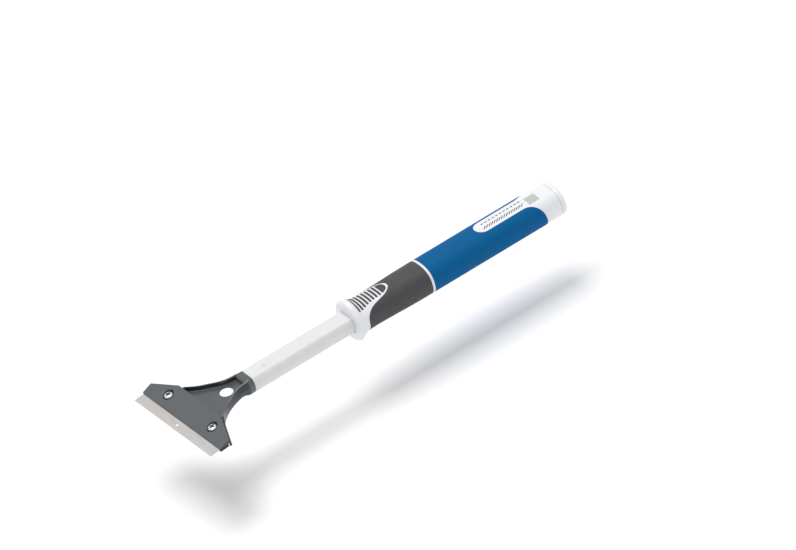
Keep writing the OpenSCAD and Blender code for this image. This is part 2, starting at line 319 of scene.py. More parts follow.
class Finish:
    """Builds one procedural material around a Principled shader."""

    def __init__(self, name, colour, roughness, metallic=0.0, **inputs):
        self.material = bpy.data.materials.new(name)
        self.material.use_nodes = True
        self.tree = self.material.node_tree
        self.shader = self.tree.nodes["Principled BSDF"]
        self.colour = colour
        self.roughness = roughness
        self.shader.inputs["Base Color"].default_value = colour
        self.shader.inputs["Roughness"].default_value = roughness
        self.shader.inputs["Metallic"].default_value = metallic
        for socket, value in inputs.items():
            self.shader.inputs[socket.replace("_", " ")].default_value = value
        self.coords = self.tree.nodes.new("ShaderNodeTexCoord").outputs["Object"]
        self.height = None

    def noise(self, size_mm, detail=3.0, stretch=(1, 1, 1), distortion=0.0):
        """Noise whose cells are about size_mm across, drawn out along an axis by stretch."""
        mapping = self.tree.nodes.new("ShaderNodeMapping")
        mapping.inputs["Scale"].default_value = [1 / s for s in stretch]
        self.tree.links.new(self.coords, mapping.inputs["Vector"])
        node = self.tree.nodes.new("ShaderNodeTexNoise")
        node.inputs["Scale"].default_value = 1 / (size_mm * MM)
        node.inputs["Detail"].default_value = detail
        node.inputs["Distortion"].default_value = distortion
        self.tree.links.new(mapping.outputs["Vector"], node.inputs["Vector"])
        return node.outputs["Fac"]

    def cells(self, size_mm):
        node = self.tree.nodes.new("ShaderNodeTexVoronoi")
        node.feature = "SMOOTH_F1"
        node.inputs["Scale"].default_value = 1 / (size_mm * MM)
        self.tree.links.new(self.coords, node.inputs["Vector"])
        return node.outputs["Distance"]

    def remap(self, value, low, high, from_low=0.3, from_high=0.7):
        node = self.tree.nodes.new("ShaderNodeMapRange")
        node.inputs["From Min"].default_value = from_low
        node.inputs["From Max"].default_value = from_high
        node.inputs["To Min"].default_value = low
        node.inputs["To Max"].default_value = high
        self.tree.links.new(value, node.inputs["Value"])
        return node.outputs["Result"]

    def vary_colour(self, value, amount):
        """Lightens and darkens the base colour by amount either way."""
        mix = self.tree.nodes.new("ShaderNodeMix")
        mix.data_type = "RGBA"
        dark = [c * (1 - amount) for c in self.colour[:3]] + [1]
        light = [min(1, c * (1 + amount)) for c in self.colour[:3]] + [1]
        for socket, rgb in zip([s for s in mix.inputs if s.type == "RGBA"], (dark, light)):
            socket.default_value = rgb
        self.tree.links.new(self.remap(value, 0, 1), mix.inputs["Factor"])
        self.tree.links.new([s for s in mix.outputs if s.type == "RGBA"][0], self.shader.inputs["Base Color"])
        return self

    def vary_roughness(self, value, amount):
        result = self.remap(value, self.roughness - amount, self.roughness + amount)
        self.tree.links.new(result, self.shader.inputs["Roughness"])
        return self

    def bump(self, value, depth_mm, strength=1.0):
        """Adds relief of a given depth. Calls stack up."""
        node = self.tree.nodes.new("ShaderNodeBump")
        node.inputs["Strength"].default_value = strength
        node.inputs["Distance"].default_value = depth_mm * MM
        self.tree.links.new(value, node.inputs["Height"])
        if self.height is not None:
            self.tree.links.new(self.height, node.inputs["Normal"])
        self.height = node.outputs["Normal"]
        self.tree.links.new(self.height, self.shader.inputs["Normal"])
        return self


LOOK = {}


def coat(key, name, rgb, roughness, grain, wear, relief=(), cells=0.0, metallic=0.0, **inputs):
    """Adds a material. grain, wear and relief are noises that end in their amount: for colour, roughness and,
    in millimetres, height. Cells of a given size stand for a fine moulded texture."""
    finish = Finish(name, colour_of(*rgb), roughness, metallic, **inputs)
    finish.vary_colour(finish.noise(*grain[:-1]), grain[-1])
    finish.vary_roughness(finish.noise(*wear[:-1]), wear[-1])
    if cells:
        finish.bump(finish.cells(cells), 0.05)
    for bump in relief:
        finish.bump(finish.noise(*bump[:-1]), bump[-1])
    LOOK[key] = finish.material


GLOSS = {"Specular_IOR_Level": 0.6, "Coat_Weight": 0.2}
coat("white", "white_plastic", (233, 234, 238), 0.34, (9, 2, 0.02), (1.2, 4, 0.05),
     [(0.22, 2, 0.012), (6, 2, 0.03)], Coat_Weight=0.08)
coat("black", "black_rubber", (66, 66, 68), 0.62, (2.4, 4, 0.1), (0.8, 4, 0.07), [(0.12, 2, 0.015)], 0.34,
     Specular_IOR_Level=0.4, Sheen_Weight=0.08)
coat("blue", "blue_rubber", (0, 92, 147), 0.6, (2.4, 4, 0.06), (0.8, 4, 0.07), [(0.12, 2, 0.015)], 0.34,
     Specular_IOR_Level=0.1)
coat("tube", "tube_paint", (222, 223, 222), 0.4, (7, 3, 0.025), (1, 4, 0.06), [(0.5, 3, 0.02)],
     Coat_Weight=0.1)
coat("head", "head_paint", (84, 89, 92), 0.42, (0.4, 3, 0.05), (0.9, 4, 0.06), [(0.3, 3, 0.006)],
     Coat_Weight=0.06)
coat("neck", "neck_paint", (80, 84, 87), 0.3, (2.5, 2, 0.03), (1.6, 3, 0.03), [(1.4, 2, 0.004)], **GLOSS)
# Painted shade: a darker copy of the neck's paint for its upright walls, which the key light hardly reaches.
coat("wall", "wall_painted_shade", (46, 51, 58), 0.3, (2.5, 2, 0.04), (1.6, 3, 0.03), [(1.4, 2, 0.004)],
     Coat_Weight=0.15)
# Painted shade: a darker copy of the head's paint for the clamp plate's upright sides.
coat("edge", "side_painted_shade", (66, 70, 73), 0.42, (0.4, 3, 0.05), (0.9, 4, 0.05))
# Painted shade: near-black for the sheet's upright edges, which lie in shade under the clamp plate.
coat("sheet_edge", "sheet_edge_painted_shade", (28, 30, 33), 0.4, (0.6, 3, 0.1), (0.9, 4, 0.05))
# Painted highlight: a lighter grey for the upward-facing tops of the neck's rims, where the key light glints.
coat("rim", "rim_painted_highlight", (118, 126, 134), 0.3, (0.8, 3, 0.08), (0.9, 3, 0.05), **GLOSS)
coat("blade", "blade_steel", (196, 193, 191), 0.36, (0.16, 3, (1, 60, 1), 0.08),
     (0.3, 4, (1, 40, 1), 0.08), [(0.12, 2, (1, 80, 1), 0.006)], metallic=0.85)
coat("zinc", "screw_zinc", (214, 213, 211), 0.34, (0.6, 3, 0.05), (0.4, 4, 0.08), [(0.3, 2, 0.01)],
     metallic=0.9)
# Painted shade: dark grey for the walls and floor of the screws' cross recesses.
coat("recess", "recess_painted_shade", (32, 32, 34), 0.5, (0.5, 3, 0.15), (0.4, 4, 0.08), metallic=0.3)
# Black oxide for the washers; its near-black also stands for the shade in the counterbore round each screw
# head.
coat("oxide", "washer_oxide_and_shade", (18, 18, 20), 0.5, (0.5, 3, 0.2), (0.4, 4, 0.1), [(0.2, 2, 0.01)])
coat("grey", "grey_plastic", (188, 189, 186), 0.42, (1.5, 3, 0.03), (0.7, 3, 0.05), [(0.2, 2, 0.01)])
coat("ink", "mark_ink", (24, 24, 27), 0.5, (0.5, 3, 0.12), (0.5, 3, 0.08), [(0.15, 2, 0.008)])


# ---------------------------------------------------------------- the handle's surface
# Half width, half height and squareness of the section at places along the tool.
SECTIONS = [
    (COLLAR_X, COLLAR_R, COLLAR_R, 2.0),
    (COLLAR_X + 2.2, COLLAR_R - 0.9, COLLAR_R - 1.0, 2.0),
    (COLLAR_X + 4.5, GRIP_W + 0.5, GRIP_H + 1.7, 2.05),
    (COLLAR_X + 7, GRIP_W - 0.2, GRIP_H + 0.5, 2.15),
    (COLLAR_X + 11, GRIP_W - 0.8, GRIP_H - 0.4, 2.35),
    (COLLAR_X + 18, GRIP_W - 0.9, GRIP_H - 0.65, 2.45),
    (COLLAR_X + 30, GRIP_W - 0.7, GRIP_H - 0.5, 2.5),
    (COLLAR_X + 48, GRIP_W - 0.15, GRIP_H - 0.1, 2.5),
    (SEAM_X, GRIP_W, GRIP_H, 2.5),
    (HANDLE_END, GRIP_W, GRIP_H, 2.5),
]
OVAL_N = 2.5


def slopes(x, y):
    """Slopes of a monotone cubic through the points."""
    d = np.diff(y) / np.diff(x)
    m = np.zeros(len(y))
    for i in range(1, len(y) - 1):
        if d[i - 1] * d[i] > 0:
            m[i] = 2 * d[i - 1] * d[i] / (d[i - 1] + d[i])
    m[-1] = 0
    return m


SECTION_X = np.array([s[0] for s in SECTIONS])
SECTION_Y = [np.array([s[k] for s in SECTIONS]) for k in (1, 2, 3)]
SECTION_M = [slopes(SECTION_X, y) for y in SECTION_Y]


def section(x):
    """Half width, half height and squareness at x, by monotone cubic."""
    x = np.clip(np.asarray(x, float), SECTION_X[0], SECTION_X[-1])
    i = np.clip(np.searchsorted(SECTION_X, x, side="right") - 1, 0, len(SECTION_X) - 2)
    h = SECTION_X[i + 1] - SECTION_X[i]
    t = (x - SECTION_X[i]) / h
    out = []
    for y, m in zip(SECTION_Y, SECTION_M):
        out.append((2 * t**3 - 3 * t**2 + 1) * y[i] + (t**3 - 2 * t**2 + t) * h * m[i]
                   + (-2 * t**3 + 3 * t**2) * y[i + 1] + (t**3 - t**2) * h * m[i + 1])
    return out


def oval(a, b, n, angle):
    y = a * np.sign(np.sin(angle)) * np.abs(np.sin(angle)) ** (2 / n)
    z = b * np.sign(np.cos(angle)) * np.abs(np.cos(angle)) ** (2 / n)
    return y, z


TABLE_ANGLE = np.linspace(0, pi, 4001)
_y, _z = oval(GRIP_W, GRIP_H, OVAL_N, TABLE_ANGLE)
TABLE_S = np.concatenate([[0], np.cumsum(np.hypot(np.diff(_y), np.diff(_z)))])
HALF_GIRTH = TABLE_S[-1]


def surface(x, s, lift):
    """Tool points on the handle: x along it, s round it from the top in millimetres, lift outwards."""
    x, s, lift = np.broadcast_arrays(np.asarray(x, float), np.asarray(s, float), np.asarray(lift, float))
    s = (s + HALF_GIRTH) % (2 * HALF_GIRTH) - HALF_GIRTH
    a, b, n = section(x)
    share = (n - 2) / (OVAL_N - 2)
    angle = np.sign(s) * (share * np.interp(np.abs(s), TABLE_S, TABLE_ANGLE)
                          + (1 - share) * np.abs(s) / HALF_GIRTH * pi)
    y, z = oval(a, b, n, angle)
    ny = np.sign(y) * np.abs(y / a) ** (n - 1) / a
    nz = np.sign(z) * np.abs(z / b) ** (n - 1) / b
    length = np.hypot(ny, nz)
    return np.stack([x, y + ny / length * lift, z + nz / length * lift], -1)


def edge_distance(points, loops):
    """Distance of each flat point from the nearest edge segment."""
    best = np.full(len(points), 1e9)
    for a, b in loops:
        a, b = np.asarray(a, float), np.asarray(b, float)
        d = b - a
        t = np.clip(((points - a) @ d) / max(d @ d, 1e-12), 0, 1)
        best = np.minimum(best, np.linalg.norm(points - (a + t[:, None] * d), axis=1))
    return best


def patch(name, flat, faces, proud, radius, depth):
    """A skin on the handle from a flat mesh in (x, s): proud of the surface, with a rounded rim.
    Points that meet round the back of the handle are joined, so that only true rims are borders."""
    flat = np.asarray(flat, float)
    key, index, unique = {}, [], []
    for p in flat:
        k = (round(p[0], 4), round((p[1] + HALF_GIRTH) % (2 * HALF_GIRTH), 4) % round(2 * HALF_GIRTH, 4))
        if k not in key:
            key[k] = len(unique)
            unique.append(p)
        index.append(key[k])
    flat = np.array(unique)
    faces = [tuple(dict.fromkeys(index[i] for i in f)) for f in faces]
    faces = [f for f in faces if len(f) > 2]
    seen = {}
    for f in faces:
        for i in range(len(f)):
            e = (f[i], f[(i + 1) % len(f)])
            seen[frozenset(e)] = None if frozenset(e) in seen else e
    border = [e for e in seen.values() if e]
    segments = [(flat[a], flat[b]) for a, b in border if abs(flat[a][1] - flat[b][1]) < HALF_GIRTH]
    distance = edge_distance(flat, segments)
    d = np.clip(distance / radius, 0, 1)
    lift = proud - radius * (1 - np.sqrt(1 - (1 - d) ** 2))
    top = surface(flat[:, 0], flat[:, 1], lift)
    bottom = surface(flat[:, 0], flat[:, 1], np.full(len(flat), -depth))
    n = len(flat)
    all_faces = list(faces) + [tuple(i + n for i in f)[::-1] for f in faces]
    all_faces += [(b, a, a + n, b + n) for a, b in border]
    return make_object(name, np.concatenate([top, bottom]), all_faces, 60)


def band_mesh(start, end, columns, offsets=(0, 0.06, 0.14, 0.25, 0.4, 0.7, 1.2, 2.2)):
    """Flat mesh between two edges given as x for each column s, with close rows at both ends."""
    columns = np.asarray(columns, float)
    longest = max(end(s) - start(s) for s in columns)
    inner = np.linspace(0, 1, max(3, int(longest / 2.5)) + 1)[1:-1]
    points = []
    for s in columns:
        a, b = start(s), end(s)
        near = [a + min(o, (b - a) * 0.45) for o in offsets]
        far = [b - min(o, (b - a) * 0.45) for o in reversed(offsets)]
        middle = near[-1] + (far[0] - near[-1]) * inner
        points.append([(x, s) for x in [*near, *middle, *far]])
    rows = len(points[0])
    flat = [p for column in points for p in column]
    faces = grid_faces(len(columns), rows, closed=False)
    return flat, faces


def smooth_curve(points):
    """Monotone cubic through (x, y) points, as a function."""
    x = np.array([p[0] for p in points], float)
    y = np.array([p[1] for p in points], float)
    m = slopes(x, y)

    def at(v):
        v = min(max(v, x[0]), x[-1])
        i = min(max(int(np.searchsorted(x, v, side="right")) - 1, 0), len(x) - 2)
        h = x[i + 1] - x[i]
        t = (v - x[i]) / h
        return ((2 * t**3 - 3 * t**2 + 1) * y[i] + (t**3 - 2 * t**2 + t) * h * m[i]
                + (-2 * t**3 + 3 * t**2) * y[i + 1] + (t**3 - t**2) * h * m[i + 1])
    return at


# ---------------------------------------------------------------- handle pieces
SKIN_LIFT = 0.16
SKIN_RADIUS = 0.45
UNDER_SKIN = 0.9
# Where the black skin begins, as distance behind the collar against distance round from the top
TONGUE = smooth_curve([(0, 35.2), (2.4, 34.7), (4.2, 33.2), (5.7, 31.4), (7.2, 28.8), (8.6, 24.6),
                       (9.6, 20.8), (10.7, 17.0), (12.1, 13.9), (14.3, 11.0), (17.1, 8.8), (20, 7.7),
                       (23, 7.4), (60, 7.4)])
PANEL_HALF = 6.7
PANEL_X = span("panel_marks")[0].x - ORIGIN.x - 5
PANEL_FLARE = SKIN_END - 14
SIDE_S = 26


def tongue_edge(s):
    s = abs((s + HALF_GIRTH) % (2 * HALF_GIRTH) - HALF_GIRTH)
    return COLLAR_X + float(TONGUE(s))


def make_front_grip():
    columns = np.linspace(-HALF_GIRTH, HALF_GIRTH, 321)
    flat, faces = band_mesh(tongue_edge, lambda s: SEAM_X - 0.05, columns)
    obj = patch("front_grip_skin", flat, faces, SKIN_LIFT, SKIN_RADIUS, UNDER_SKIN)
    return piece(obj, "root", "black_rubber", LOOK["black"], "front_grip")


def panel_edge(x):
    """Distance round from the top at which the blue skin begins beside the panel."""
    if x <= PANEL_FLARE:
        return PANEL_HALF
    t = min((x - PANEL_FLARE) / (SKIN_END - PANEL_FLARE), 1)
    return PANEL_HALF + (SIDE_S - PANEL_HALF) * (1 - sqrt(max(0, 1 - t**2.6))) ** 0.86


def make_rear_grip():
    start = SEAM_END + 0.05
    tip_end = PANEL_X + PANEL_HALF
    angles = np.linspace(-pi / 2, pi / 2, 41)
    tip_s = PANEL_HALF * np.sin(angles)
    side_s = np.linspace(PANEL_HALF, 2 * HALF_GIRTH - PANEL_HALF, 261)
    columns = np.concatenate([tip_s, side_s[1:]])

    def end(s):
        if abs(s) <= PANEL_HALF + 1e-9:
            return PANEL_X + PANEL_HALF - sqrt(max(0, PANEL_HALF**2 - s * s))
        return tip_end
    flat, faces = band_mesh(lambda s: start, end, columns)
    rows = [tip_end + (PANEL_FLARE - tip_end) * k / 14 for k in range(15)]
    rows += [PANEL_FLARE + (SKIN_END - PANEL_FLARE) * sin(pi / 2 * k / 60) for k in range(1, 61)]
    share = (side_s - side_s[0]) / (side_s[-1] - side_s[0])
    share = np.clip(share, 0, 1)
    side = []
    for x in rows:
        edge = panel_edge(x)
        side += [(x, edge + t * (2 * HALF_GIRTH - 2 * edge)) for t in share]
    side_faces = grid_faces(len(rows), len(side_s), closed=False, start=len(flat))
    obj = patch("rear_grip_skin", flat + side, faces + [f[::-1] for f in side_faces],
                SKIN_LIFT, SKIN_RADIUS, UNDER_SKIN)
    return piece(obj, "root", "blue_rubber", LOOK["blue"], "rear_grip")


def under_skin(x, s):
    """How far the white body lies under the rubber at (x, s)."""
    s = np.abs((s + HALF_GIRTH) % (2 * HALF_GIRTH) - HALF_GIRTH)
    front = np.array([tongue_edge(v) for v in s])
    inside = np.clip((x - front - 1.0) / 1.0, 0, 1) * np.clip((SEAM_X - 0.8 - x) / 0.5, 0, 1)
    rear = np.clip((x - SEAM_END - 0.8) / 0.5, 0, 1) * np.clip((SKIN_END - 2 - x) / 1, 0, 1)
    rear = rear * np.where(x > PANEL_X - 2, np.clip((s - panel_edge(x) - 1.2) / 1.0, 0, 1), 1)
    return -0.5 * np.maximum(inside, rear)


INSIDE = 3.0


def make_handle_core():
    columns = np.linspace(-HALF_GIRTH, HALF_GIRTH, 192, endpoint=False)
    turn = columns / HALF_GIRTH * pi

    def ring(x, r):
        return np.stack([np.full(len(turn), x), r * np.sin(turn), r * np.cos(turn)], -1)

    def bore(x, gap):
        outline = np.roll(tube_outline(gap, len(turn)), len(turn) // 2, 0)
        return np.column_stack([np.full(len(turn), x), outline])

    # the bore round the tube, out to the mouth and its rounded edge
    mouth, play, soft = COLLAR_X - 2.2, 0.14, 0.4
    rows = [bore(TUBE_END + 1, 0.06), bore(COLLAR_X, 0.06), bore(COLLAR_X - 0.2, 0.12), bore(mouth, play)]
    rows += [bore(mouth - soft * sin(a), play + soft * (1 - cos(a))) for a in np.linspace(0.3, pi / 2, 5)]
    # the collar's face and its round lip
    rows += [bore(COLLAR_X - 2.64, 1.1), ring(COLLAR_X - 2.7, COLLAR_R - LIP - 1.2)]
    rows += [ring(COLLAR_X - LIP * cos(a), COLLAR_R - LIP + LIP * sin(a)) for a in np.linspace(0, pi / 2, 15)]
    # the outside, with closer rows where the skins end
    xs = [*np.linspace(COLLAR_X + 0.4, COLLAR_X + 40, 100), *np.linspace(COLLAR_X + 41, SEAM_X - 1.5, 24),
          *np.linspace(SEAM_X - 1.2, SEAM_END + 1.6, 12), *np.linspace(SEAM_END + 2.5, PANEL_X - 2, 20),
          *np.linspace(PANEL_X - 1.5, CAP_X - 0.5, 120)]
    rows += [surface(x, columns, under_skin(x, columns)) for x in xs]
    edge = 0.35
    rows += [surface(CAP_X - 0.5 + edge * sin(a), columns, -edge * (1 - cos(a)))
             for a in np.linspace(0.3, pi / 2, 4)]
    rows += [surface(CAP_X - 0.02, columns, -INSIDE)]
    obj = loft("handle_body", rows, 40)
    return piece(obj, "root", "white_plastic", LOOK["white"], "handle_core")


def make_seam_ring():
    columns = np.linspace(-HALF_GIRTH, HALF_GIRTH, 193)
    flat, faces = band_mesh(lambda s: SEAM_X, lambda s: SEAM_END, columns, (0, 0.08, 0.2, 0.4))
    obj = patch("seam_band", flat, faces, 0.1, 0.4, UNDER_SKIN)
    return piece(obj, "root", "white_plastic", LOOK["white"], "seam_ring")


def make_end_cap():
    columns = np.linspace(-HALF_GIRTH, HALF_GIRTH, 192, endpoint=False)
    length = HANDLE_END - CAP_X
    edge, joint = 1.3, 0.3
    rows = [surface(CAP_X + 0.02, columns, -INSIDE)]
    rows += [surface(CAP_X + 0.35 - joint * cos(a), columns, -0.4 + joint * sin(a))
             for a in np.linspace(0, pi / 2, 5)]
    rows += [surface(CAP_X + length - edge - 0.5, columns, -0.1)]
    rows += [surface(CAP_X + length - edge - 0.35 + edge * sin(a), columns, -0.1 - edge * (1 - cos(a)))
             for a in np.linspace(0.1, pi / 2 - 0.12, 8)]
    rim = rows[-1]
    centre = np.array([rim[0][0], 0, 0])
    dome_rise = 0.32
    for share in (0.93, 0.8, 0.6, 0.4, 0.2, 0.05):
        dome = centre + (rim - centre) * share
        dome[:, 0] = rim[0][0] + dome_rise * (1 - share**2)
        rows.append(dome)
    obj = loft("end_cap_moulded", rows, 40)
    return piece(obj, "root", "white_plastic", LOOK["white"], "end_cap")


def capsule_mesh(x, half, width, steps=24):
    """Flat mesh in (x, s) of a bar across the handle at x with round ends."""
    r = width / 2
    flat, count = [], 9
    span_s = []
    for k in range(steps + 1):
        span_s.append(-half + 2 * half * (0.5 - 0.5 * cos(pi * k / steps)))
    for s in span_s:
        inset = max(0, abs(s) - (half - r))
        w = sqrt(max(r * r - inset * inset, 0.0004))
        flat += [(x + w * u, s) for u in np.sin(np.linspace(-pi / 2, pi / 2, count))]
    return flat, grid_faces(len(span_s), count, closed=False)


BAR_PITCH = 3.05
BAR_W = 1.75
BAR_FIRST = COLLAR_X + 4.1
BAR_HALF = smooth_curve([(0, 10.6), (1, 10.0), (2, 9.1), (3, 8.2), (4, 7.5), (5, 7.1), (6, 6.9), (7, 6.8)])
THUMB_BARS = 8


def make_thumb_rubber():
    parts = []
    for i in range(THUMB_BARS):
        flat, faces = capsule_mesh(BAR_FIRST + i * BAR_PITCH, BAR_HALF(i), BAR_W)
        parts.append(patch(f"bar_{i}", flat, faces, 0.42, 0.42, 0.6))
    pad_start = BAR_FIRST + 7 * BAR_PITCH + 2.0
    pad_end = COLLAR_X + 35.2 - 1.7
    pad_half = 5.9
    flat, rows = [], 33
    for k in range(rows):
        s = -pad_half * cos(pi * k / (rows - 1))
        left = pad_start + 0.5 * (abs(s) / pad_half) ** 12
        right = pad_start + (pad_end - pad_start) * max(0.1, (1 - (abs(s) / pad_half) ** 2.4)) ** 0.62
        flat += [(left + (right - left) * (0.5 - 0.5 * cos(pi * j / 12)), s) for j in range(13)]
    parts.append(patch("pad", flat, grid_faces(rows, 13, closed=False), 0.34, 0.42, 0.6))
    obj = join("thumb_rest_rubber", parts)
    finish_mesh(obj, 60)
    return piece(obj, "root", "black_rubber", LOOK["black"], "thumb_bars_rubber")


def make_panel_marks():
    """Leaning bars along the near side of the panel and a plain row of dashes beside them."""
    low, high = span("panel_marks")
    first = low.x - ORIGIN.x
    width, lean, pitch, length = 1.05, 3.0, 2.24, 2.7
    bar_side = low.y + length / 2
    parts = []
    for i in range(16):
        flat = [(first + i * pitch + lean * k / 8 + width * j / 4, bar_side + length * (k / 8 - 0.5))
                for k in range(9) for j in range(5)]
        parts.append(patch(f"bar_{i}", flat, grid_faces(9, 5, closed=False), 0.06, 0.06, 0.2))
    dash_l, dash_w, dash_pitch = 2.0, 1.1, 3.3
    dash_side = high.y - dash_w / 2
    for i in range(11):
        flat = [(first + 1.9 + i * dash_pitch + dash_l * j / 6, dash_side + dash_w * (k / 4 - 0.5))
                for k in range(5) for j in range(7)]
        parts.append(patch(f"dash_{i}", flat, grid_faces(5, 7, closed=False), 0.06, 0.06, 0.2))
    obj = join("panel_mark_rows", parts)
    finish_mesh(obj, 60)
    return piece(obj, "root", "mark_ink", LOOK["ink"], "panel_marks")


def make_inlay():
    low, high = span("code_inlay")
    x0, x1 = low.x - ORIGIN.x, high.x - ORIGIN.x
    y0, y1 = low.y, high.y
    fine = [0, 0.01, 0.03, 0.08, 0.2, 0.35, 0.5, 0.65, 0.8, 0.92, 0.97, 0.99, 1]
    flat = [(x0 + (x1 - x0) * u, y0 + (y1 - y0) * v) for v in fine for u in fine]
    obj = patch("inlay_square", flat, grid_faces(len(fine), len(fine), closed=False), 0.05, 0.12, 0.8)
    return piece(obj, "root", "grey_plastic", LOOK["grey"], "code_inlay")


# ---------------------------------------------------------------- tube
RIB_PITCH = 1.7
RIB_HEIGHT = 0.075
PIN_X = 15
PIN_R = 1.5


def tube_outline(grow=0.0, count=96, corner=1.3):
    """D-shaped outline in (y, z), evenly spaced from the middle of the flat, with softened corners."""
    r, flat = TUBE_R + grow, TUBE_FLAT + grow
    half = sqrt(r * r - flat * flat)
    a0 = atan2(flat, half)
    dense = [(y, flat) for y in np.linspace(0, half, 200)]
    dense += [(r * cos(a), r * sin(a)) for a in np.linspace(a0, -pi / 2, 900)[1:]]
    dense = np.array(dense)
    s = np.concatenate([[0], np.cumsum(np.hypot(*np.diff(dense, axis=0).T))])
    soft = dense.copy()
    for i, at in enumerate(s):
        if abs(at - half) < corner * 1.5:
            near = dense[np.abs(s - at) < corner * (1 - abs(at - half) / (corner * 1.5)) + 1e-6]
            soft[i] = near.mean(0)
    even = np.linspace(0, s[-1], count // 2 + 1)
    right = np.column_stack([np.interp(even, s, soft[:, 0]), np.interp(even, s, soft[:, 1])])
    left = right[1:-1][::-1] * [-1, 1]
    return np.concatenate([right, left])


def make_tube():
    outer = tube_outline(0, 168)
    inner = tube_outline(-1.5, 168)
    flat_half = sqrt(TUBE_R**2 - TUBE_FLAT**2)
    on_flat = (outer[:, 1] > TUBE_FLAT - 0.25) & (np.abs(outer[:, 0]) < flat_half)
    fade = np.clip((flat_half - 0.9 - np.abs(outer[:, 0])) / 0.8, 0, 1) * on_flat
    xs = list(np.arange(0.5, COLLAR_X - 1, RIB_PITCH / 6)) + [COLLAR_X + 10, TUBE_END - 0.3]
    rows = []
    edge = tube_outline(-0.25, 168)
    rows.append(np.column_stack([np.zeros(168), edge]))
    rows.append(np.column_stack([np.full(168, 0.08), tube_outline(-0.07, 168)]))
    rows.append(np.column_stack([np.full(168, 0.25), outer]))
    for x in xs:
        z = outer.copy()
        depth = RIB_HEIGHT * (0.5 - 0.5 * cos(2 * pi * x / RIB_PITCH)) if 2 < x < COLLAR_X - 2 else 0
        z[:, 1] -= fade * depth
        away = np.hypot(x - PIN_X, outer[:, 0])
        z[:, 1] -= np.where(on_flat, 0.42 * np.clip(1.25 - away / (PIN_R + 0.75), 0, 0.6) / 0.6, 0)
        rows.append(np.column_stack([np.full(168, x), z]))
    rows.append(np.column_stack([np.full(168, TUBE_END), edge]))
    rows.append(np.column_stack([np.full(168, TUBE_END), inner]))
    rows.append(np.column_stack([np.full(168, COLLAR_X), inner]))
    rows.append(np.column_stack([np.full(168, 0.0), inner]))
    obj = loft("tube_coated", rows, 40, ring=True)
    return piece(obj, "root", "tube_paint", LOOK["tube"], "tube")


def make_head_pin():
    low, high = span("head_pin")
    bottom, top = low.z - ORIGIN.z, high.z - ORIGIN.z
    place = Matrix.Translation((PIN_X, 0, 0))
    bore, edge = 0.7, 0.35
    profile = [(bore, bottom), (PIN_R - 0.3, bottom), (PIN_R, bottom + 0.3), (PIN_R, top - edge)]
    profile += [(PIN_R - edge * (1 - cos(a)), top - edge * (1 - sin(a))) for a in np.linspace(0.2, pi / 2, 5)]
    profile += [(bore + 0.15, top), (bore, top - 0.15)]
    obj = lathe("head_roll_pin", profile, place, 40, 40)
    return piece(obj, "root", "screw_steel", LOOK["tube"], "head_pin")


def make_handle_pin():
    low, high = span("handle_pin")
    x = (low.x + high.x) / 2 - ORIGIN.x
    place = Matrix.Translation((x, 0, 0)) @ Matrix.Rotation(pi / 2, 4, "X")
    half = high.y
    profile = [(0.8, -half), (1.2, -half), (1.5, -half + 0.3), (1.5, half - 0.3), (1.2, half), (0.8, half)]
    obj = lathe("handle_cross_pin", profile, place, 32, 40)
    return piece(obj, "root", "screw_steel", LOOK["zinc"], "handle_pin")


# ---------------------------------------------------------------- head
def plate_corners(front, radius=0.7):
    half, back = PLATE_W / 2, PLATE_BACK / 2
    return [(front, -half, radius), (PLATE_SIDE, -half, radius), (PLATE_DEPTH, -back, radius),
            (PLATE_DEPTH, back, radius), (PLATE_SIDE, half, radius), (front, half, radius)]


def at_screw(side):
    return head_axes() @ Matrix.Translation((SCREW_DEPTH, side * SCREW_SPAN / 2, 0))


def disc_profile(steps):
    return [(0.0001, steps[0][1])] + list(steps) + [(0.0001, steps[-1][1])]


RECESS_R = 4.4
SCREW_HOLE_R = 2.15


def make_clamp_plate():
    corners = [(x + (0.06 if x < 1 else 0), y, r) for x, y, r in plate_corners(0)]
    obj = slab("clamp_plate_coated", rounded(corners, 6), 0.05, PLATE_T - 0.02, 0.26, head_axes(), 4, WEDGE)
    cutters = []
    for side in (-1, 1):
        steps = [(SCREW_HOLE_R, -1), (SCREW_HOLE_R, SEAT_Z), (RECESS_R - 0.25, SEAT_Z),
                 (RECESS_R, SEAT_Z + 0.25), (RECESS_R, 12)]
        cutters.append(lathe("cutter", disc_profile(steps), at_screw(side), 96))
        # a broken edge where the round seat meets the slope
        slope_top = Matrix.Translation((0, 0, PLATE_T + SCREW_DEPTH * tan(WEDGE)))
        tilt = Matrix.Rotation(-WEDGE, 4, "Y")
        bowl = [(RECESS_R + r, z) for r, z in ((-0.3, -0.25), (0.05, -0.1), (0.28, 0.06), (0.3, 1))]
        cutters.append(lathe("cutter", disc_profile(bowl), at_screw(side) @ slope_top @ tilt, 96))
    subtract(obj, cutters, 50, flat_ways(head_axes(), WEDGE))
    piece(obj, "clamp", "head_paint", LOOK["head"], "clamp_plate")
    # painted shade on the plate's upright sides
    shade_sides(obj, LOOK["edge"])


def shade_sides(obj, paint):
    """Paints shade onto a plate's upright sides, as a darker copy of its paint for faces turned away from the
    light.
    """
    obj.data.materials.append(paint)
    up = flat_ways(head_axes())[0]
    for polygon in obj.data.polygons:
        if abs(polygon.normal.dot(up)) < 0.6:
            polygon.material_index = 1


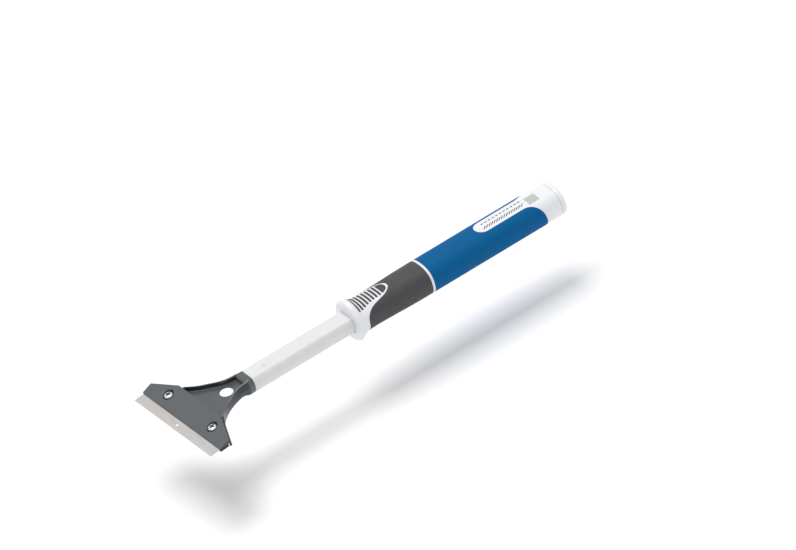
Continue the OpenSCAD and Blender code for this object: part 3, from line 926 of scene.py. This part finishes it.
def make_blade():
    low, high = -BLADE_T, 0.0
    middle = (low + high) / 2
    edge, end = -BLADE_REACH + 0.05, BLADE_DEPTH - BLADE_REACH
    profile = [(edge, middle - 0.02), (edge + 0.5, low + 0.1), (edge + 1.7, low), (end - 1.7, low),
               (end - 0.5, low + 0.1), (end, middle - 0.02), (end, middle + 0.02), (end - 0.5, high - 0.1),
               (end - 1.7, high), (edge + 1.7, high), (edge + 0.5, high - 0.1), (edge, middle + 0.02)]
    half = BLADE_LEN / 2
    rows = []
    for y in (-half, -half + 0.03, 0, half - 0.03, half):
        inset = 0.03 if abs(y) == half else 0
        rows.append([(x + inset * np.sign(end + edge - 2 * x), y, z - inset * np.sign(z - middle))
                     for x, z in profile])
    obj = loft("blade_ground", [apply_matrix(head_axes(), r) for r in rows], 3)
    hole = Matrix.Translation((edge + 4.1, 0, 0))
    cutter = lathe("cutter", disc_profile([(1.25, -4), (1.25, 1)]), head_axes() @ hole, 48)
    subtract(obj, [cutter], 3)
    return piece(obj, "blade", "blade_steel", LOOK["blade"], "blade")


def make_washers():
    # the washers' near-black is partly painted shade in the counterbore
    for side, name in ((1, "left"), (-1, "right")):
        r_in, r_out, t = SCREW_HOLE_R, 4.2, 0.37
        profile = rounded([(r_in, 0, 0.08), (r_out, 0, 0.12), (r_out, t, 0.16), (r_in, t, 0.08)], 4)
        obj = lathe(f"washer_{name}_black", profile, at_screw(side) @ Matrix.Translation((0, 0, SEAT_Z)), 64)
        piece(obj, "clamp", "washer_black", LOOK["oxide"], f"washer_{name}")


def thread_rows(radius, bottom, top, pitch, depth, columns):
    """Rows of a threaded shank: the radius follows a helix."""
    rows = []
    for z in np.arange(bottom, top, pitch / 6):
        row = []
        for k in range(columns):
            phase = (z / pitch - k / columns) % 1
            cut = depth * abs(2 * phase - 1) * min(1, max(0, (z - bottom) / pitch + 0.4))
            row.append((radius - cut, 2 * pi * k / columns, z))
        rows.append(row)
    return rows


def darken_recess(obj, place, seat):
    """Paints shade onto the walls and floor of the cross recess, which the zinc would otherwise keep as
    bright as the head.
    """
    obj.data.materials.append(LOOK["recess"])
    back = place.inverted()
    for polygon in obj.data.polygons:
        at = back @ (polygon.center / MM - ORIGIN)
        way = back.to_3x3() @ polygon.normal
        off_axis, height = hypot(at.x, at.y), at.z - seat
        wall = height > 0.3 and off_axis < 2.3 and way.z < 0.7
        floor = 0.25 < height < 0.5 and off_axis < 2
        if wall or floor:
            polygon.material_index = 1


def make_screws():
    head_r, head_t, length, thread = 3.5, 1.9, 10.0, 0.7
    columns = 48
    for side, name in ((1, "left"), (-1, "right")):
        seat = SEAT_Z + 0.4
        rows = thread_rows(2.0, seat - length, seat - 0.4, thread, 0.36, columns)
        rows = [[(1.3, a, seat - length) for _, a, _ in rows[0]]] + rows
        outer = [(2.0, seat), (head_r - 0.25, seat), (head_r, seat + 0.25), (head_r, seat + 0.75)]
        outer += [(head_r - 0.9 + 0.9 * cos(a), seat + 0.75 + 0.85 * sin(a))
                  for a in np.linspace(0.25, 1.25, 6)]
        outer += [(2.2, seat + head_t - 0.1), (1.2, seat + head_t - 0.02), (0.4, seat + head_t)]
        rows += [[(r, 2 * pi * k / columns, z) for k in range(columns)] for r, z in outer]
        flat = [[(r * cos(a), r * sin(a), z) for r, a, z in row] for row in rows]
        obj = loft(f"clamp_screw_{name}_zinc", [apply_matrix(at_screw(side), r) for r in flat], 32)
        cutters = []
        for turn in (20, 110):
            arm = Matrix.Rotation(radians(turn), 4, "Z")
            top, deep = seat + head_t + 0.3, seat + 0.35
            wide, long, tip = 0.62, 2.5, 1.1
            section_rows = []
            for z, w, l in ((deep, 0.3, tip), (seat + 1.1, 0.42, 1.75), (top, wide, long)):
                section_rows.append([(-l, -w, z), (l, -w, z), (l, w, z), (-l, w, z)])
            cutters.append(loft("cutter", [apply_matrix(at_screw(side) @ arm, r) for r in section_rows]))
        subtract(obj, cutters, 32)
        piece(obj, f"screw_{name}", "screw_steel", LOOK["zinc"], f"clamp_screw_{name}")
        darken_recess(obj, at_screw(side), seat)


def make_nuts():
    across, height = 7.0, 3.2
    columns = 96
    base = -BLADE_T - BASE_T - height
    flat_r = across / 2 * 0.96
    for side, name in ((1, "left"), (-1, "right")):
        angles = [2 * pi * k / columns for k in range(columns)]
        hexes = [across / 2 / cos((a + pi / 6) % (pi / 3) - pi / 6) for a in angles]
        drop = [(h - flat_r) * tan(radians(30)) for h in hexes]
        rows = [[(2.4, a, 0) for a in angles], [(flat_r, a, 0) for a in angles],
                [(h, a, d) for h, a, d in zip(hexes, angles, drop)],
                [(h, a, height - d) for h, a, d in zip(hexes, angles, drop)],
                [(flat_r, a, height) for a in angles], [(2.4, a, height) for a in angles],
                [(2.06, a, height - 0.35) for a in angles], [(2.06, a, 0.35) for a in angles]]
        place = at_screw(side) @ Matrix.Translation((0, 0, base))
        flat = [apply_matrix(place, [(r * cos(a), r * sin(a), z) for r, a, z in row]) for row in rows]
        obj = loft(f"clamp_nut_{name}_zinc", flat, 25, ring=True)
        piece(obj, "root", "screw_steel", LOOK["zinc"], f"clamp_nut_{name}")


# The neck: two walls along a waisted floor that meet the round socket of the tube
ARC_R = 48.8
ARC_X = -2
ARC_Y = 58
RIM_T = 1.7
RIM_TOP = 6.0
RIM_BOTTOM = -2.1
SOCKET = 4.8
NECK_START = FRONT.x + PLATE_DEPTH * cos(TILT) + 0.3
FLOOR_T = 1.2


def neck_half(x):
    """Half width of the neck at its widest, at x."""
    return min(ARC_Y - sqrt(ARC_R**2 - (x - ARC_X) ** 2), PLATE_BACK / 2 - 0.6)


def neck_section(x):
    """Closed outline of the channel at x, in (y, z)."""
    wide = neck_half(x)
    blend = np.clip((x + 26) / 20, 0, 1)
    blend = blend * blend * (3 - 2 * blend)
    flat_half = sqrt(TUBE_R**2 - TUBE_FLAT**2)
    top_z = RIM_TOP + (TUBE_FLAT - 0.1 - RIM_TOP) * blend
    top_out = wide - (wide - flat_half - 0.55) * blend * 0.9
    drop = np.clip((x + 13) / 10, 0, 1)
    bottom_z = RIM_BOTTOM + (-TUBE_R * 0.5 - RIM_BOTTOM) * drop * drop * (3 - 2 * drop)
    bottom_out = wide - 0.25
    inner = top_out - RIM_T
    floor_top, floor_bottom = HANG.z + FLOOR_T / 2, HANG.z - FLOOR_T / 2
    inner_low = min(inner + 0.3, wide - 1.6)
    under = bottom_out - 1.0
    half = [(inner_low, floor_top, 1.1), (inner, top_z, 0.75), (top_out, top_z, 0.85),
            (wide, 0.45 * top_z + 0.55 * bottom_z, 3.0), (bottom_out, bottom_z, 0.7),
            (under, bottom_z, 0.5), (under, min(floor_bottom, bottom_z + 6), 0.8)]
    corners = [*half, *[(-y, z, r) for y, z, r in reversed(half)]]
    return rounded(corners, 6)


def make_neck():
    xs = list(np.linspace(NECK_START, -SOCKET - 1.4, 70)) + [-SOCKET - 0.7, -SOCKET + 0.3]
    rows = []
    for x in xs:
        outline = neck_section(x)
        rows.append(np.column_stack([np.full(len(outline), x), outline]))
    neck = loft("neck", rows, 40)
    cutters = []
    hole = Matrix.Translation(HANG)
    steps = [(HANG_R + 1.6, -8), (HANG_R + 1.6, -FLOOR_T / 2 + 0.05), (HANG_R, FLOOR_T / 2 - 0.4),
             (HANG_R, FLOOR_T / 2 - 0.3), (HANG_R + 0.08, FLOOR_T / 2 - 0.1),
             (HANG_R + 0.3, FLOOR_T / 2 + 0.02), (HANG_R + 0.35, FLOOR_T / 2 + 0.3)]
    cutters.append(lathe("cutter", disc_profile(steps), hole, 96))
    return subtract(neck, cutters, 40)


def make_socket():
    """Ring that the tube butts against, with the spigot inside the tube."""
    count, spigot = 120, 28.0
    front = [(-1.9, -1.6), (-1.8, -1.2), (-1.3, -0.75), (-0.5, -0.4), (0.4, -0.14), (1.4, -0.05)]
    places = [(x - SOCKET, grow) for x, grow in front]
    places += [(-0.55, -0.05), (-0.25, -0.12), (-0.08, -0.3), (-0.02, -0.5), (-0.02, -1.6)]
    places += [(spigot - 0.5, -1.6), (spigot, -2.1)]
    rows = [np.column_stack([np.full(count, x), tube_outline(grow, count)]) for x, grow in places]
    return loft("socket", rows, 40)


def make_sheet():
    """The sheet under the blade, the step behind the blade and the bend that leads into the neck's floor."""
    low = -BLADE_T - BASE_T
    sheet = slab("sheet", rounded(plate_corners(0), 6), low, low + BASE_T, 0.22, head_axes())
    step = rounded(plate_corners(BLADE_DEPTH - BLADE_REACH + 0.05, 0.4), 6)
    back = slab("step", step, low + BASE_T - 0.2, -0.02, 0.1, head_axes())
    for part in (sheet, back):
        cutters = []
        for side in (-1, 1):
            hole = disc_profile([(SCREW_HOLE_R, low - 1), (SCREW_HOLE_R, 1)])
            cutters.append(lathe("cutter", hole, at_screw(side), 48))
            # the notch between the sheet's end and the ear of its folded edge
            deep, wide = side * (PLATE_W / 2 - 2.6), side * (PLATE_W / 2 + 1)
            near, far = PLATE_SIDE - 1.0, PLATE_SIDE + 1.1
            notch = [(near, deep, 0.3), (far, deep, 0.3), (far, wide, 0.1), (near, wide, 0.1)][::side]
            cutters.append(slab("cutter", rounded(notch, 3), low - 0.5, 0.2, 0.02, head_axes()))
        subtract(part, cutters, 50, flat_ways(head_axes()))
    start, end, half = PLATE_DEPTH - 1.5, PLATE_DEPTH + 1.6, 25.5
    bend = [(start, -half, 0.5), (end, -half, 0.5), (end, half, 0.5), (start, half, 0.5)]
    return [sheet, back, slab("bend", rounded(bend, 4), low + 0.9, -0.15, 0.1, head_axes())]


def make_flanges():
    """The folded edges below the sheet's slanted sides, each ending in a small ear at the notch."""
    slope = (PLATE_W - PLATE_BACK) / 2 / (PLATE_DEPTH - PLATE_SIDE)
    notch, drop = 0.8, 2.4
    stretch = sqrt(1 + slope * slope) / slope
    wall, out = 1.8 * stretch, 1.3 * stretch
    start_y = PLATE_W / 2 - notch * slope
    low = -BLADE_T - BASE_T
    flanges = []
    front, back, back_y = PLATE_SIDE + notch + out, PLATE_DEPTH + out, PLATE_BACK / 2
    for side in (-1, 1):
        corners = [(front, side * start_y, 0.3), (back, side * back_y, 0.5),
                   (back - wall, side * back_y, 0.3), (front - wall, side * start_y, 0.3)]
        if side > 0:
            corners = corners[::-1]
        flanges.append(slab("flange", rounded(corners, 5), low - drop, low + 0.45, 0.3, head_axes()))
    return flanges


def make_blade_holder():
    obj = join("blade_holder_coated", [make_neck(), make_socket(), *make_sheet(), *make_flanges()])
    shade(obj.data, 38, [*flat_ways(head_axes()), Vector((0, 0, 1))])
    piece(obj, "root", "head_paint", LOOK["neck"], "blade_holder")
    shade_walls(obj)


def shade_walls(obj):
    """Paints shade onto the neck's upright walls, a painted highlight onto the upward-facing tops of its rims
    and the darkest painted shade onto the sheet's edges.
    """
    for key in ("wall", "rim", "sheet_edge"):
        obj.data.materials.append(LOOK[key])
    for polygon in obj.data.polygons:
        at = polygon.center / MM - ORIGIN
        if NECK_START + 0.5 < at.x < -SOCKET and abs(at.y) > 4:
            out = polygon.normal.y * np.sign(at.y)
            if abs(polygon.normal.z) < 0.55:
                polygon.material_index = 1
            # painted highlight on the upward, outward faces of the rims
            elif polygon.normal.z > 0.55 and out > 0.15 and at.z > 3:
                polygon.material_index = 2
        # painted shade on the sheet's upright edges
        elif at.x < NECK_START and abs(polygon.normal.z) < 0.6:
            polygon.material_index = 3


# ---------------------------------------------------------------- stage, light and camera
FLOOR_GAP = 45


def make_stage():
    mesh = bpy.data.meshes.new("floor")
    size = 8.0
    z = cad_low.z - FLOOR_GAP * MM
    corners = [(-size, -size, z), (size, -size, z), (size, size, z), (-size, size, z)]
    mesh.from_pydata(corners, [], [(0, 1, 2, 3)])
    floor = bpy.data.objects.new("floor", mesh)
    bpy.context.scene.collection.objects.link(floor)
    paper = Finish("floor_paper", colour_of(253, 253, 254), 0.85, Specular_IOR_Level=0.1)
    floor.data.materials.append(paper.material)


def area_light(name, location, target, size, power, colour=(1, 1, 1)):
    data = bpy.data.lights.new(name, "AREA")
    data.shape = "RECTANGLE"
    data.size, data.size_y = size
    data.energy = power
    data.color = colour
    lamp = bpy.data.objects.new(name, data)
    bpy.context.scene.collection.objects.link(lamp)
    lamp.location = location
    lamp.rotation_mode = "QUATERNION"
    lamp.rotation_quaternion = (Vector(target) - Vector(location)).to_track_quat("-Z", "Y")


def make_lights():
    world = bpy.data.worlds.new("studio")
    world.use_nodes = True
    background = world.node_tree.nodes["Background"]
    background.inputs["Color"].default_value = (1, 1, 1, 1)
    background.inputs["Strength"].default_value = 0.68
    bpy.context.scene.world = world
    centre = (0.12, 0, 0)
    area_light("key", (0.1, 1.2, 4.2), centre, (2.6, 2.0), 102)


def make_camera():
    data = bpy.data.cameras.new("camera")
    data.lens = 1000
    data.sensor_width = 36
    camera = bpy.data.objects.new("camera", data)
    bpy.context.scene.collection.objects.link(camera)
    back = Vector((-0.35, -0.7285, 0.5889)).normalized()
    across = Vector((0.9367, -0.2722, 0.22)).normalized()
    roll = radians(31)
    upright = back.cross(across)
    right = across * cos(roll) - upright * sin(roll)
    up = back.cross(right)
    target = Vector((0.16064, 0.00653, 0.00639))
    rotation = Matrix((right, up, back)).transposed()
    camera.matrix_world = Matrix.Translation(target + back * 16.06) @ rotation.to_4x4()
    data.clip_start, data.clip_end = 0.1, 50
    bpy.context.scene.camera = camera


bpy.context.scene.view_settings.view_transform = "Standard"
make_camera()
make_stage()
make_lights()
make_blade()
make_clamp_plate()
make_screws()
make_washers()
make_nuts()
make_blade_holder()
make_tube()
make_head_pin()
make_handle_pin()
make_handle_core()
make_front_grip()
make_rear_grip()
make_seam_ring()
make_end_cap()
make_thumb_rubber()
make_panel_marks()
make_inlay()
